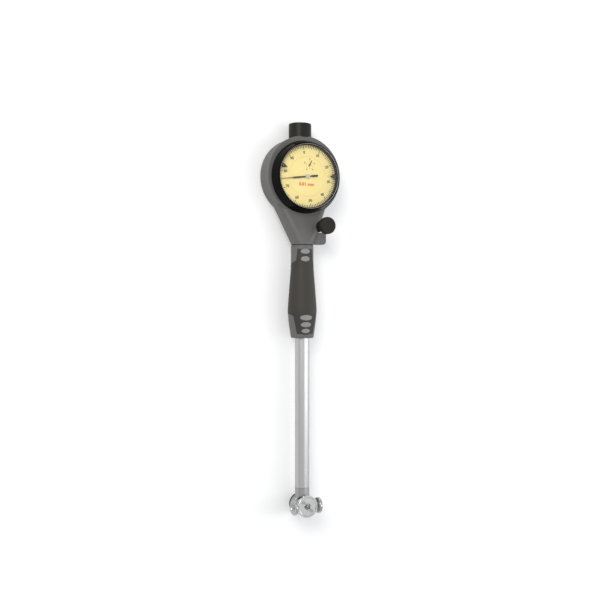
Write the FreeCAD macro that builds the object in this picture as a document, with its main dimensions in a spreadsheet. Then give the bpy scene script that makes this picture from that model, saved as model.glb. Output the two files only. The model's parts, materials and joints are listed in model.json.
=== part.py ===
import FreeCAD, Part
import math
import os
import re

import Sketcher
from FreeCAD import Placement, Rotation, Vector

# Dial bore gauge, lying on its back as it comes to rest on a bench.
#
# Gauge frame: the measuring axis and the tube axis cross at the gauge's own zero point.
#   across  (X)  the dial's left to right
#   along   (Y)  up the tube, from the measuring head to the dust cap
#   out     (Z)  out of the dial towards the reader, the way the contact points
# The row frame is the gauge frame moved so that its origin lies under the middle of the
# gauge, in the plane on which the cover's back and the anvil's tip rest.

SIZES = [
    # layout
    ("head_to_cap", 297.2), ("head_low", 8.5), ("axis_height", 14.5), ("dial_along", 254.6),
    ("running_gap", 0.03),
    # measuring head
    ("measuring_travel", 1.2), ("body_radius", 8.0), ("body_back", 5.6), ("body_front", 1.4),
    ("spigot_radius", 6.8), ("spigot_front", 6.0), ("lip_radius", 7.6), ("stub_radius", 4.0),
    ("stub_back", 8.0), ("neck_radius", 5.6), ("neck_end", 13.5), ("neck_plug_end", 20.0),
    # bell crank and what it pushes
    ("crank_arm", 3.0), ("crank_tip_radius", 0.9), ("crank_hub_radius", 1.3), ("crank_half_width", 1.2),
    ("crank_web", 1.0), ("crank_start_turn", 11.459156), ("pin_radius", 0.75), ("pin_half_length", 5.0),
    ("chamber_half_width", 1.7), ("rod_foot", 3.325), ("rod_radius", 1.5), ("rod_top", 200.0),
    ("rod_collar_radius", 3.4), ("rod_collar_along", 160.0), ("guide_low", 186.0), ("guide_high", 192.0),
    ("rod_spring_radius", 2.9), ("rod_spring_wire", 0.7), ("rod_spring_turns", 7),
    # contact and anvil
    ("bush_radius", 2.6), ("bush_back", 4.75), ("bush_front", 8.8), ("plunger_back", 4.517),
    ("plunger_radius", 1.5), ("plunger_front", 12.3), ("contact_out", 13.6), ("contact_radius", 1.1),
    ("anvil_flange", 3.2), ("anvil_flange_back", 8.9), ("anvil_shank", 1.9), ("anvil_front", 4.2),
    ("anvil_end", 13.3), ("lock_front", 5.7), ("lock_back", 10.2), ("lock_radius_front", 8.2),
    ("lock_radius_back", 6.1), ("lock_bore", 2.4), ("turning_gap", 0.05),
    # centraliser
    ("cup_radius", 8.5), ("cup_rim", 10.5), ("cup_dish", 9.8), ("cup_floor", 8.9), ("cup_skirt", 7.45),
    ("cup_inside", 6.85), ("cup_back", 5.9), ("cup_hole", 2.66), ("rim_inside", 7.4),
    ("cheek_across", 9.0), ("cheek_half_height", 2.7), ("cheek_front", 9.6),
    ("guide_pitch", 4.6), ("guide_shank", 0.9), ("guide_hole", 0.96), ("guide_head", 1.35),
    ("guide_head_front", 10.35), ("guide_depth", 4.1), ("coil_pocket_radius", 1.25),
    ("coil_pocket_back", 4.0), ("coil_radius", 0.85), ("coil_wire", 0.36), ("coil_turns", 4),
    ("wheel_radius", 6.15), ("wheel_out", 7.5), ("wheel_inside", 9.15), ("wheel_outside", 11.35),
    ("wheel_bore", 1.04), ("wheel_recess_radius", 3.6), ("wheel_recess", 0.5),
    ("axle_radius", 1.0), ("axle_inside", 7.1), ("axle_head_radius", 2.0), ("axle_head_inside", 10.9),
    ("axle_head_outside", 11.6),
    # tube and handle
    ("tube_radius", 5.6), ("tube_bore", 4.4), ("tube_end", 214.0), ("handle_low", 129.9),
    ("handle_high", 202.0), ("handle_waist_radius", 8.75), ("handle_waist", 184.0),
    ("handle_swell_radius", 11.5), ("handle_swell", 148.5), ("handle_ease", 70.0),
    ("handle_low_radius", 8.9), ("rubber_depth", 1.3), ("rubber_proud", 0.16), ("handle_turn", -8.0),
    ("band_high", 186.5), ("band_low", 149.5), ("tongue_high", 198.9), ("tongue_low", 132.6),
    ("tongue_high_half", 5.4), ("tongue_low_half", 5.3), ("gasket_radius", 8.3), ("gasket_high", 202.6),
    # indicator cover
    ("cover_radius", 30.3), ("cover_along", 255.9), ("cover_lip_radius", 30.9), ("cover_lip_back", 1.6),
    ("cover_front", 4.6), ("cover_inside", 27.4), ("cover_floor", 12.0), ("cover_back_round", 3.0),
    ("cone_high", 236.0), ("cone_high_half", 22.5), ("cone_high_back", 12.5), ("cone_high_front", 2.6),
    ("cone_high_corner", 5.0), ("cone_low", 204.0), ("cone_low_half", 8.95), ("cone_low_corner", 8.3),
    ("collar_low", 202.6), ("collar_radius", 8.95), ("stem_bore", 4.05), ("ear_across", 14.0),
    ("ear_along", 216.8), ("ear_radius", 4.2), ("ear_front", 1.0), ("ear_back", 8.0), ("ear_face_radius", 4.7),
    ("lug_across", 19.4), ("lug_low", 202.8), ("lug_high", 212.2), ("lug_half_depth", 2.6),
    ("lug_corner", 2.5), ("cap_out", -4.0), ("cap_boss_radius", 8.6), ("cap_boss_top", 286.0),
    ("cap_spigot_radius", 7.35), ("cap_spigot_top", 290.4), ("cap_spigot_bore", 6.6),
    ("cap_radius", 8.85), ("cap_inside", 7.4), ("cap_roof", 2.0), ("cap_edge", 0.5),
    # clamp screw
    ("knob_radius", 6.5), ("knob_front", 17.9), ("knob_back", 13.3), ("knob_edge", 0.6),
    ("screw_neck_radius", 2.6), ("screw_collar_radius", 4.0), ("screw_collar_front", 5.0),
    ("screw_shank_radius", 2.0), ("screw_end", 7.0),
    # indicator
    ("case_radius", 26.0), ("case_inside", 24.2), ("case_back", 9.5), ("case_front", 8.3),
    ("case_flange_radius", 27.3), ("case_flange_back", 2.6), ("case_flange_front", 4.3),
    ("case_back_depth", 1.6), ("case_screw_pitch", 21.5), ("case_screw_head", 1.8),
    ("case_screw_proud", 0.9), ("stem_radius", 4.0), ("stem_low", 209.0), ("stem_high", 231.5),
    ("spindle_radius", 2.0), ("spindle_low", 206.0), ("spindle_top", 291.6), ("point_low", 200.03),
    ("top_bush_radius", 3.0), ("top_bush_low", 277.0), ("top_bush_high", 281.6),
    ("bezel_radius", 28.2), ("bezel_back", 4.9), ("bezel_shoulder", 6.4), ("bezel_front_radius", 25.9),
    ("bezel_front", 13.8), ("bezel_bevel", 13.4), ("bezel_rim_radius", 25.5), ("crystal_seat", 24.65),
    ("crystal_back", 12.4), ("bezel_flange", 24.0), ("ring_seat", 25.4), ("ring_seat_front", 9.25),
    ("ring_seat_back", 8.5), ("bezel_bore", 26.07), ("crystal_radius", 24.6), ("crystal_front", 13.5),
    ("crystal_crown", 0.5), ("dial_front", 9.2), ("dial_back", 8.6), ("dial_ring_radius", 25.35),
    ("dial_split", 15.5), ("dial_gap", 0.1), ("dial_hole", 1.2), ("counter_hole", 0.9),
    ("foot_radius", 0.8), ("foot_pitch", 12.0),
    # movement
    ("plate_radius", 22.0), ("back_plate_back", 2.3), ("back_plate_front", 3.1),
    ("front_plate_back", 6.2), ("front_plate_front", 7.0), ("pillar_across", 16.5), ("pillar_along", 9.5),
    ("pillar_radius", 1.5), ("spacer_radius", 1.2), ("arbor_across", 2.1), ("arbor_along", 9.1),
    ("arbor_radius", 0.6), ("pivot_radius", 0.35), ("staff_radius", 0.5),
    ("rack_pitch", 0.625), ("rack_teeth", 14), ("rack_pinion_teeth", 16), ("wheel_teeth", 100),
    ("centre_pinion_teeth", 10), ("rack_wheel_back", 3.5), ("takeup_wheel_back", 4.5),
    ("wheel_depth", 0.6), ("centre_pinion_back", 3.3), ("centre_pinion_front", 5.5),
    ("rack_pinion_half", 0.6), ("arbor_back", 1.6),
    ("hairspring_back", 5.3), ("hairspring_front", 5.8), ("hairspring_inside", 1.2),
    ("hairspring_outside", 5.2), ("hairspring_turns", 4), ("hairspring_strip", 0.12),
    ("pointer_back", 9.9), ("pointer_front", 10.1), ("pointer_reach", 22.4), ("pointer_tail", 8.8),
    ("pointer_turn", -97.0), ("pointer_hub", 1.6), ("counter_back", 9.35), ("counter_front", 9.5),
    ("counter_reach", 4.0), ("counter_turn", 28.0),
    ("marker_back", 11.2), ("marker_front", 11.7), ("marker_reach", 18.9), ("marker_root", 23.8),
    ("marker_half", 1.7), ("marker_left_turn", -71.0), ("marker_right_turn", 87.5),
]

doc = FreeCAD.newDocument("dial_bore_gauge")
sheet = doc.addObject("Spreadsheet::Sheet", "dims")
for row, (alias, value) in enumerate(SIZES, start=1):
    sheet.set(f"A{row}", alias.replace("_", " "))
    sheet.set(f"B{row}", str(value))
    sheet.setAlias(f"B{row}", alias)
doc.recompute()

ALIASES = {alias for alias, _ in SIZES}
SHIFT_ALONG = "(head_low - head_to_cap) / 2"
ALONG_OUT = Rotation()
ALONG_TUBE = Rotation(Vector(1, 0, 0), -90)
ALONG_ACROSS = Rotation(Vector(0, 1, 0), 90)
TO_THE_LEFT = Rotation(Vector(0, 1, 0), -90)
NODES = []
COIL_STEPS = 14
WIRE_SIDES = 5


def bound(text):
    """The same sum with each size name pointing at its cell in the sheet."""
    return re.sub(r"[a-z_]{2,}", lambda m: "dims." + m.group(0) if m.group(0) in ALIASES else m.group(0),
                  str(text))


def size(text):
    """The present value of a sum of sizes."""
    return float(sheet.evalExpression(bound(text)))


def bind(thing, **sums):
    for name, text in sums.items():
        thing.setExpression(name, bound(text))
    return thing


def place(thing, at=("0", "0", "0"), turn=ALONG_OUT):
    """Puts a piece of work at a point of the gauge frame, given as three sums of sizes."""
    thing.Placement = Placement(Vector(*(size(text) for text in at)), turn)
    for letter, text in zip("xyz", at):
        thing.setExpression(f".Placement.Base.{letter}", bound(text))
    thing.addProperty("App::PropertyStringList", "GaugePoint", "Seat", "place in the gauge frame")
    thing.GaugePoint = list(at)
    return thing


def node(thing, label):
    """Makes a finished piece one named sub-part, moved from the gauge frame to the row frame."""
    if not hasattr(thing, "GaugePoint"):
        place(thing)
    across, along, out = thing.GaugePoint
    thing.setExpression(".Placement.Base.x", bound(across))
    thing.setExpression(".Placement.Base.y", bound(f"{along} + {SHIFT_ALONG}"))
    thing.setExpression(".Placement.Base.z", bound(f"{out} + axis_height"))
    thing.Label = label
    NODES.append(thing)
    return thing


def closed_outline(sketch, points):
    """Straight closed outline whose corners are held by the sheet, as (x, y) sums from the origin."""
    corners = [Vector(size(x), size(y), 0) for x, y in points]
    count = len(corners)
    for index, corner in enumerate(corners):
        sketch.addGeometry(Part.LineSegment(corner, corners[(index + 1) % count]), False)
    for index in range(count):
        sketch.addConstraint(Sketcher.Constraint("Coincident", index, 2, (index + 1) % count, 1))
    for index, (pair, corner) in enumerate(zip(points, corners)):
        for kind, text, value in (("DistanceX", pair[0], corner.x), ("DistanceY", pair[1], corner.y)):
            number = sketch.addConstraint(Sketcher.Constraint(kind, -1, 1, index, 1, value))
            if re.search("[a-z]", text):
                sketch.setExpression(f"Constraints[{number}]", bound(text))


def sketch_in(body, name, role, offset=None):
    """A sketch on one of the body's own origin planes, moved along its normal if asked."""
    sketch = body.newObject("Sketcher::SketchObject", name)
    plane = next(item for item in body.Origin.OriginFeatures if item.Role == role)
    sketch.AttachmentSupport = [(plane, "")]
    sketch.MapMode = "FlatFace"
    if offset is not None:
        sketch.AttachmentOffset = Placement(Vector(0, 0, size(offset)), Rotation())
        sketch.setExpression(".AttachmentOffset.Base.z", bound(offset))
    doc.recompute()
    return sketch


def turned(name, start, outline, at=("0", "0", "0"), turn=ALONG_OUT):
    """A lathe-turned body. The outline's (radius, height) sums count height from the frame's zero,
    and start is its lowest height; at holds the axis's other two places."""
    body = doc.addObject("PartDesign::Body", name)
    sketch = sketch_in(body, name + "_profile", "XZ_Plane")
    closed_outline(sketch, [(radius, f"({height}) - ({start})") for radius, height in outline])
    spin = body.newObject("PartDesign::Revolution", name + "_turned")
    spin.Profile = sketch
    spin.ReferenceAxis = (sketch, ["V_Axis"])
    spin.Angle = 360
    doc.recompute()
    return place(body, at, turn)


def turned_out(name, start, outline, across="0", along="0"):
    return turned(name, start, outline, (across, along, start))


def turned_along(name, start, outline, across="0", out="0"):
    return turned(name, start, outline, (across, start, out), ALONG_TUBE)


def pad(name, outline, start, depth, at=("0", "0", "0"), turn=ALONG_OUT):
    """A plate of constant section: its outline lies in the local XY plane, its depth runs along Z."""
    body = doc.addObject("PartDesign::Body", name)
    sketch = sketch_in(body, name + "_outline", "XY_Plane")
    closed_outline(sketch, outline)
    plate = body.newObject("PartDesign::Pad", name + "_pad")
    plate.Profile = sketch
    bind(plate, Length=depth)
    doc.recompute()
    across, along, out = at
    return place(body, (across, along, f"{out} + {start}"), turn)


def rounded(body, radius, wanted):
    """Rounds the edges of a body that the test picks, by a radius in the sheet."""
    tip = body.Tip
    names = [f"Edge{i}" for i, edge in enumerate(tip.Shape.Edges, start=1) if wanted(edge)]
    fillet = body.newObject("PartDesign::Fillet", body.Name + "_round")
    fillet.Base = (tip, names)
    bind(fillet, Radius=radius)
    body.Tip = fillet
    doc.recompute()
    return body


def circle_at(radius, height):
    """Test for the round edge of a turned body at one radius and height."""
    def wanted(edge):
        curve = edge.Curve
        if not isinstance(curve, Part.Circle):
            return False
        return abs(curve.Radius - radius) < 1e-4 and abs(curve.Center.z - height) < 1e-4
    return wanted


def rod(name, radius, start, end, at=("0", "0", "0"), turn=ALONG_OUT):
    """A plain cylinder along out, tube or across, from start to end on its axis."""
    piece = bind(doc.addObject("Part::Cylinder", name), Radius=radius, Height=f"({end}) - ({start})")
    across, along, out = at
    if turn is ALONG_TUBE:
        along = start
    elif turn is ALONG_ACROSS:
        across = start
    else:
        out = start
    return place(piece, (across, along, out), turn)


def block(name, low, high):
    """A rectangular block between two corners of the gauge frame."""
    piece = doc.addObject("Part::Box", name)
    bind(piece, Length=f"({high[0]}) - ({low[0]})", Width=f"({high[1]}) - ({low[1]})",
         Height=f"({high[2]}) - ({low[2]})")
    return place(piece, low)


def joined(name, *pieces):
    whole = doc.addObject("Part::MultiFuse", name)
    whole.Shapes = list(pieces)
    whole.Refine = True
    doc.recompute()
    return whole


def cut(name, base, *tools):
    tool = tools[0] if len(tools) == 1 else joined(name + "_tools", *tools)
    rest = doc.addObject("Part::Cut", name)
    rest.Base = base
    rest.Tool = tool
    rest.Refine = True
    doc.recompute()
    return rest


def shared(name, first, second):
    both = doc.addObject("Part::Common", name)
    both.Base = first
    both.Tool = second
    doc.recompute()
    return both


def formed(name, shape, at=("0", "0", "0"), turn=ALONG_OUT):
    """A form that only Part's own functions make, such as gear teeth, a helix or a spiral."""
    piece = doc.addObject("Part::Feature", name)
    piece.Shape = shape
    return place(piece, at, turn)


def group(name, pieces):
    """Separate identical solids that share one node."""
    whole = doc.addObject("Part::Compound", name)
    whole.Links = pieces
    doc.recompute()
    return whole


# ---------------------------------------------------------------- measuring head

def head_body():
    shell = turned_out("head_barrel", "-stub_back", [
        ("0", "-stub_back"), ("stub_radius", "-stub_back"), ("stub_radius", "-body_back"),
        ("body_radius - 0.5", "-body_back"), ("body_radius", "-body_back + 0.5"),
        ("body_radius", "body_front - 0.3"), ("body_radius - 0.3", "body_front"),
        ("spigot_radius", "body_front"), ("spigot_radius", "spigot_front - 0.3"),
        ("spigot_radius - 0.3", "spigot_front"), ("0", "spigot_front")])
    neck = rod("head_neck", "neck_radius", "0", "neck_end", turn=ALONG_TUBE)
    plug = rod("head_plug", "tube_bore", "neck_end", "neck_plug_end", turn=ALONG_TUBE)
    relief = rod("head_relief", "lip_radius", "body_front", "neck_radius + 1")
    neck = cut("head_neck_lip", joined("head_neck_and_plug", neck, plug), relief)
    solid = joined("head_solid", shell, neck)
    chamber = block("crank_chamber", ("-chamber_half_width", "-1.7", "-1.6"),
                    ("chamber_half_width", "crank_arm + 2.4", "bush_back"))
    rod_bore = rod("rod_bore", "rod_radius + 0.05", "crank_arm + 2", "neck_plug_end + 1", turn=ALONG_TUBE)
    bush_bore = rod("bush_bore", "bush_radius", "bush_back", "spigot_front + 1")
    anvil_bore = rod("anvil_bore", "anvil_shank + 0.02", "-stub_back - 1", "-anvil_front")
    pin_bore = rod("pin_bore", "pin_radius", "-pin_half_length", "pin_half_length",
                   ("0", "crank_arm", "crank_arm"), ALONG_ACROSS)
    tools = [chamber, rod_bore, bush_bore, anvil_bore, pin_bore]
    for side, sign in (("a", "-"), ("b", "")):
        reach = f"{sign}guide_pitch * sqrt(0.5)"
        other = f"{'' if sign else '-'}guide_pitch * sqrt(0.5)"
        tools.append(rod("guide_thread_" + side, "guide_shank", "guide_depth", "spigot_front + 1",
                         (reach, other, "0")))
        tools.append(rod("coil_pocket_" + side, "coil_pocket_radius", "coil_pocket_back",
                         "spigot_front + 1", (reach, reach, "0")))
    node(cut("head_body_cut", solid, *tools), "head_body")


def crank():
    """Right-angled lever: one arm meets the contact plunger, the other the push rod."""
    hub = rod("crank_hub", "crank_hub_radius", "-crank_half_width", "crank_half_width", turn=ALONG_ACROSS)
    pieces = [hub]
    for name, tip in (("input", ("0", "-crank_arm", "0")), ("output", ("0", "0", "-crank_arm"))):
        pieces.append(rod(f"crank_{name}_tip", "crank_tip_radius", "-crank_half_width", "crank_half_width",
                          tip, ALONG_ACROSS))
    pieces.append(block("crank_input_web", ("-crank_half_width", "-crank_arm", "-crank_web / 2"),
                        ("crank_half_width", "0", "crank_web / 2")))
    pieces.append(block("crank_output_web", ("-crank_half_width", "-crank_web / 2", "-crank_arm"),
                        ("crank_half_width", "crank_web / 2", "0")))
    bore = rod("crank_bore", "pin_radius + running_gap", "-crank_half_width - 1", "crank_half_width + 1",
               turn=ALONG_ACROSS)
    lever = cut("crank_cut", joined("crank_solid", *pieces), bore)
    place(lever, ("0", "crank_arm", "crank_arm"), Rotation(Vector(1, 0, 0), -size("crank_start_turn")))
    node(lever, "bell_crank")
    pin = rod("crank_pin_rod", "pin_radius", "-pin_half_length", "pin_half_length",
              ("0", "crank_arm", "crank_arm"), ALONG_ACROSS)
    node(pin, "crank_pin")


def contact():
    bush = turned_out("bush_turned", "bush_back", [
        ("plunger_radius + running_gap", "bush_back"), ("bush_radius", "bush_back"),
        ("bush_radius", "bush_front"), ("plunger_radius + running_gap", "bush_front")])
    node(bush, "contact_bush")
    plunger = turned_out("plunger_turned", "plunger_back", [
        ("0", "plunger_back"), ("plunger_radius", "plunger_back"), ("plunger_radius", "plunger_front - 0.3"),
        ("plunger_radius - 0.3", "plunger_front"), ("0", "plunger_front")])
    node(plunger, "contact_plunger")
    tip = turned_out("tip_turned", "plunger_front", [
        ("0", "plunger_front"), ("contact_radius", "plunger_front"),
        ("contact_radius", "contact_out - 0.6"), ("contact_radius * 0.8", "contact_out - 0.25"),
        ("contact_radius * 0.4", "contact_out - 0.03"), ("0", "contact_out")])
    node(tip, "contact_tip")


def anvil():
    shank = turned_out("anvil_turned", "-anvil_end", [
        ("0", "-anvil_end"), ("anvil_shank - 0.3", "-anvil_end"), ("anvil_shank", "-anvil_end + 0.3"),
        ("anvil_shank", "-anvil_flange_back"), ("anvil_flange", "-anvil_flange_back"),
        ("anvil_flange", "-stub_back"), ("anvil_shank", "-stub_back"), ("anvil_shank", "-anvil_front"),
        ("0", "-anvil_front")])
    node(shank, "anvil")
    tip = turned_out("anvil_tip_turned", "-axis_height", [
        ("0", "-axis_height"), ("contact_radius * 0.5", "-axis_height"),
        ("contact_radius * 0.9", "-axis_height + 0.3"), ("contact_radius", "-axis_height + 0.7"),
        ("contact_radius", "-anvil_end"), ("0", "-anvil_end")])
    node(tip, "anvil_tip")
    ring = turned_out("lock_turned", "-lock_back", [
        ("lock_bore", "-lock_back"), ("lock_radius_back - 0.3", "-lock_back"),
        ("lock_radius_back", "-lock_back + 0.3"), ("lock_radius_front", "-lock_front - 0.8"),
        ("lock_radius_front", "-lock_front"), ("stub_radius + turning_gap", "-lock_front"),
        ("stub_radius + turning_gap", "-anvil_flange_back - turning_gap"),
        ("lock_bore", "-anvil_flange_back - turning_gap")])
    node(ring, "lock_ring")


def centraliser():
    cup = turned_out("cup_turned", "cup_back", [
        ("cup_inside", "cup_back"), ("cup_skirt", "cup_back"), ("cup_skirt", "cup_floor - 0.6"),
        ("cup_radius", "cup_floor - 0.6"), ("cup_radius", "cup_rim - 0.25"),
        ("cup_radius - 0.25", "cup_rim"), ("rim_inside", "cup_rim"), ("rim_inside - 0.6", "cup_dish"),
        ("cup_hole", "cup_dish"), ("cup_hole", "cup_floor"), ("cup_inside", "cup_floor")])
    cheeks = block("cheek_block", ("-cheek_across", "-cheek_half_height", "cup_back"),
                   ("cheek_across", "cheek_half_height", "cheek_front"))
    inside = rod("cheek_inside", "cup_inside", "cup_back - 1", "cup_floor")
    dish = rod("cheek_dish", "cup_inside", "cup_floor", "cup_rim")
    cheeks = cut("cheeks", cheeks, inside, dish)
    tools = [rod("axle_hole", "axle_radius", "-cup_radius - 2", "cup_radius + 2",
                 ("0", "0", "wheel_out"), ALONG_ACROSS)]
    for side, sign in (("a", "-"), ("b", "")):
        tools.append(rod("guide_hole_" + side, "guide_hole", "cup_floor - 1", "cup_rim + 1",
                         (f"{sign}guide_pitch * sqrt(0.5)", f"{'' if sign else '-'}guide_pitch * sqrt(0.5)",
                          "0")))
    node(cut("cup_cut", joined("cup_solid", cup, cheeks), *tools), "centraliser_cup")
    wheel_profile = [
        ("wheel_bore", "wheel_inside"), ("wheel_radius - 0.4", "wheel_inside"),
        ("wheel_radius", "wheel_inside + 0.5"), ("wheel_radius", "wheel_outside - 0.5"),
        ("wheel_radius - 0.4", "wheel_outside"), ("wheel_recess_radius", "wheel_outside"),
        ("wheel_recess_radius - 0.3", "wheel_outside - wheel_recess"),
        ("wheel_bore", "wheel_outside - wheel_recess")]
    axle_profile = [
        ("0", "axle_inside"), ("axle_radius", "axle_inside"), ("axle_radius", "axle_head_inside"),
        ("axle_head_radius", "axle_head_inside"), ("axle_head_radius", "axle_head_outside - 0.2"),
        ("axle_head_radius - 0.2", "axle_head_outside"), ("0", "axle_head_outside")]
    for side, sign, turn in (("left", "-", TO_THE_LEFT), ("right", "", ALONG_ACROSS)):
        seat = (f"{sign}wheel_inside", "0", "wheel_out")
        node(turned("wheel_turned_" + side, "wheel_inside", wheel_profile, seat, turn), "wheel_" + side)
        seat = (f"{sign}axle_inside", "0", "wheel_out")
        node(turned("axle_turned_" + side, "axle_inside", axle_profile, seat, turn), "axle_screw_" + side)
    screws = []
    coils = []
    for side, sign in (("a", "-"), ("b", "")):
        reach = f"{sign}guide_pitch * sqrt(0.5)"
        other = f"{'' if sign else '-'}guide_pitch * sqrt(0.5)"
        screws.append(turned_out("guide_screw_" + side, "guide_depth", [
            ("0", "guide_depth"), ("guide_shank", "guide_depth"), ("guide_shank", "cup_dish + 0.02"),
            ("guide_head", "cup_dish + 0.02"), ("guide_head", "guide_head_front"),
            ("0.5", "guide_head_front"), ("0.5", "guide_head_front - 0.35"),
            ("0", "guide_head_front - 0.35")], reach, other))
        coils.append(coil("centraliser_coil_" + side, "coil_radius", "coil_wire", "coil_turns", "coil_pocket_back",
                          "cup_floor", (reach, reach, "coil_pocket_back")))
    node(group("guide_screw_pair", screws), "guide_screws")
    node(group("centraliser_coil_pair", coils), "centraliser_springs")


def coil(name, radius, wire, turns, start, end, at, turn=ALONG_OUT):
    """An open coil spring between two heights: short straight lengths of wire joined into one solid."""
    wire_size = size(wire)
    length = size(f"({end}) - ({start})") - wire_size
    count = int(size(turns)) * COIL_STEPS
    rings = []
    for index in range(count + 1):
        angle = 2 * math.pi * index / COIL_STEPS
        rise = wire_size / 2 + length * index / count
        ring = []
        for corner in range(WIRE_SIDES):
            lean = 2 * math.pi * (corner + 0.5) / WIRE_SIDES
            reach = size(radius) + wire_size / 2 * math.cos(lean)
            ring.append(Vector(reach * math.cos(angle), reach * math.sin(angle),
                               rise + wire_size / 2 * math.sin(lean)))
        rings.append(ring)
    faces = [flat_face(rings[0]), flat_face(rings[-1])]
    for lower, upper in zip(rings, rings[1:]):
        for corner in range(WIRE_SIDES):
            following = (corner + 1) % WIRE_SIDES
            faces.append(flat_face([lower[corner], lower[following], upper[following]]))
            faces.append(flat_face([lower[corner], upper[following], upper[corner]]))
    solid = Part.makeSolid(Part.makeShell(faces))
    return formed(name, solid, at, turn)


def flat_face(corners):
    return Part.Face(Part.makePolygon(corners + corners[:1]))


# ---------------------------------------------------------------- tube, rod and handle

def tube_and_rod():
    tube = turned_along("tube_turned", "neck_end", [
        ("tube_bore", "neck_end"), ("tube_radius - 0.25", "neck_end"), ("tube_radius", "neck_end + 0.25"),
        ("tube_radius", "tube_end"), ("tube_bore", "tube_end")])
    node(tube, "tube")
    push = turned_along("rod_turned", "rod_foot", [
        ("0", "rod_foot"), ("rod_radius", "rod_foot"), ("rod_radius", "rod_collar_along - 2"),
        ("rod_collar_radius", "rod_collar_along - 2"), ("rod_collar_radius", "rod_collar_along"),
        ("rod_radius", "rod_collar_along"), ("rod_radius", "rod_top - 0.3"),
        ("rod_radius - 0.3", "rod_top"), ("0", "rod_top")])
    node(push, "push_rod")
    guide = turned_along("guide_turned", "guide_low", [
        ("rod_radius + running_gap", "guide_low"), ("tube_bore", "guide_low"),
        ("tube_bore", "guide_high"), ("rod_radius + running_gap", "guide_high")])
    node(guide, "rod_guide")
    free_end = "rod_collar_along + measuring_travel + 0.2"
    spring = coil("rod_coil", "rod_spring_radius", "rod_spring_wire", "rod_spring_turns", free_end, "guide_low",
                  ("0", free_end, "0"), ALONG_TUBE)
    node(spring, "rod_spring")


def handle_outline(inset):
    """Handle silhouette from its low end to its high end, drawn inwards by the inset."""
    return [("tube_radius", "handle_low"), (f"handle_low_radius - 0.6 - {inset}", "handle_low"),
            (f"handle_low_radius - {inset}", "handle_low + 0.6"),
            (f"handle_swell_radius - {inset}", "handle_swell"),
            (f"handle_waist_radius - {inset}", "handle_waist"),
            (f"handle_waist_radius - {inset}", "handle_high - 0.4"),
            (f"handle_waist_radius - 0.4 - {inset}", "handle_high"), ("tube_radius", "handle_high")]


def handle_form(name, inset):
    """The swelling handle as one turned form, its breaks in the silhouette eased into long curves."""
    form = turned_along(name, "handle_low", handle_outline(inset))
    swell = circle_at(size(f"handle_swell_radius - {inset}"), size("handle_swell - handle_low"))
    waist = circle_at(size(f"handle_waist_radius - {inset}"), size("handle_waist - handle_low"))
    return rounded(form, "handle_ease", lambda edge: swell(edge) or waist(edge))


def tongue_prism(name, half, low, high, corner_low, corner_high):
    """Upright panel with rounded ends, long enough to pass through the handle front to back."""
    body = pad(name, [(f"-({half})", low), (half, low), (half, high), (f"-({half})", high)],
               "-16", "32")
    picks = ((low, corner_low), (high, corner_high))
    for level, corner in picks:
        height = size(level)
        rounded(body, corner, lambda edge, height=height: (
            isinstance(edge.Curve, Part.Line) and abs(edge.tangentAt(edge.FirstParameter).z) > 0.99
            and abs(edge.Vertexes[0].Y - height) < 1e-4))
    return body


def ellipse_prism(name, along, half_across, half_along):
    """Oval prism through the handle from front to back."""
    oval = Part.Ellipse(Vector(0, 0, 0), max(half_across, half_along), min(half_across, half_along))
    solid = Part.Face(Part.Wire(oval.toShape())).extrude(Vector(0, 0, 32))
    return formed(name, solid, ("0", str(along), "-16"))


INLAYS = [(197.0, 3.7, 1.95), (191.2, 3.45, 2.0), (145.8, 4.8, 2.05), (140.4, 4.1, 1.95), (135.6, 3.3, 1.7)]


def handle():
    """Grey moulding under a rubber sleeve whose tongues run up and down its front and back."""
    turn = Rotation(Vector(0, 1, 0), size("handle_turn"))
    core = handle_form("handle_core", "0")
    skin = cut("handle_skin", handle_form("handle_outside", "-rubber_proud"),
               handle_form("handle_inside", "rubber_depth"))
    band = block("grip_band", ("-16", "band_low", "-16"), ("16", "band_high", "16"))
    high = tongue_prism("tongue_up", "tongue_high_half", "band_high - 6", "tongue_high", "0.4", "2.6")
    low = tongue_prism("tongue_down", "tongue_low_half", "tongue_low", "band_low + 6", "4.6", "0.4")
    rubber = shared("rubber_full", skin, joined("grip_area", band, high, low))
    ovals = joined("oval_prisms", *[ellipse_prism(f"oval_{i}", *oval) for i, oval in enumerate(INLAYS)])
    grip = cut("rubber_cut", rubber, ovals)
    place(grip, turn=turn)
    inlays = shared("inlay_common", rubber, ovals)
    place(inlays, turn=turn)
    moulding = cut("handle_cut", core, rubber)
    place(moulding, turn=turn)
    node(moulding, "handle_body")
    node(grip, "rubber_grip")
    node(inlays, "grip_inlays")
    gasket = turned_along("gasket_turned", "handle_high", [
        ("tube_radius", "handle_high"), ("gasket_radius", "handle_high"), ("gasket_radius", "gasket_high"),
        ("tube_radius", "gasket_high")])
    node(gasket, "handle_gasket")


# ---------------------------------------------------------------- indicator cover

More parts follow.
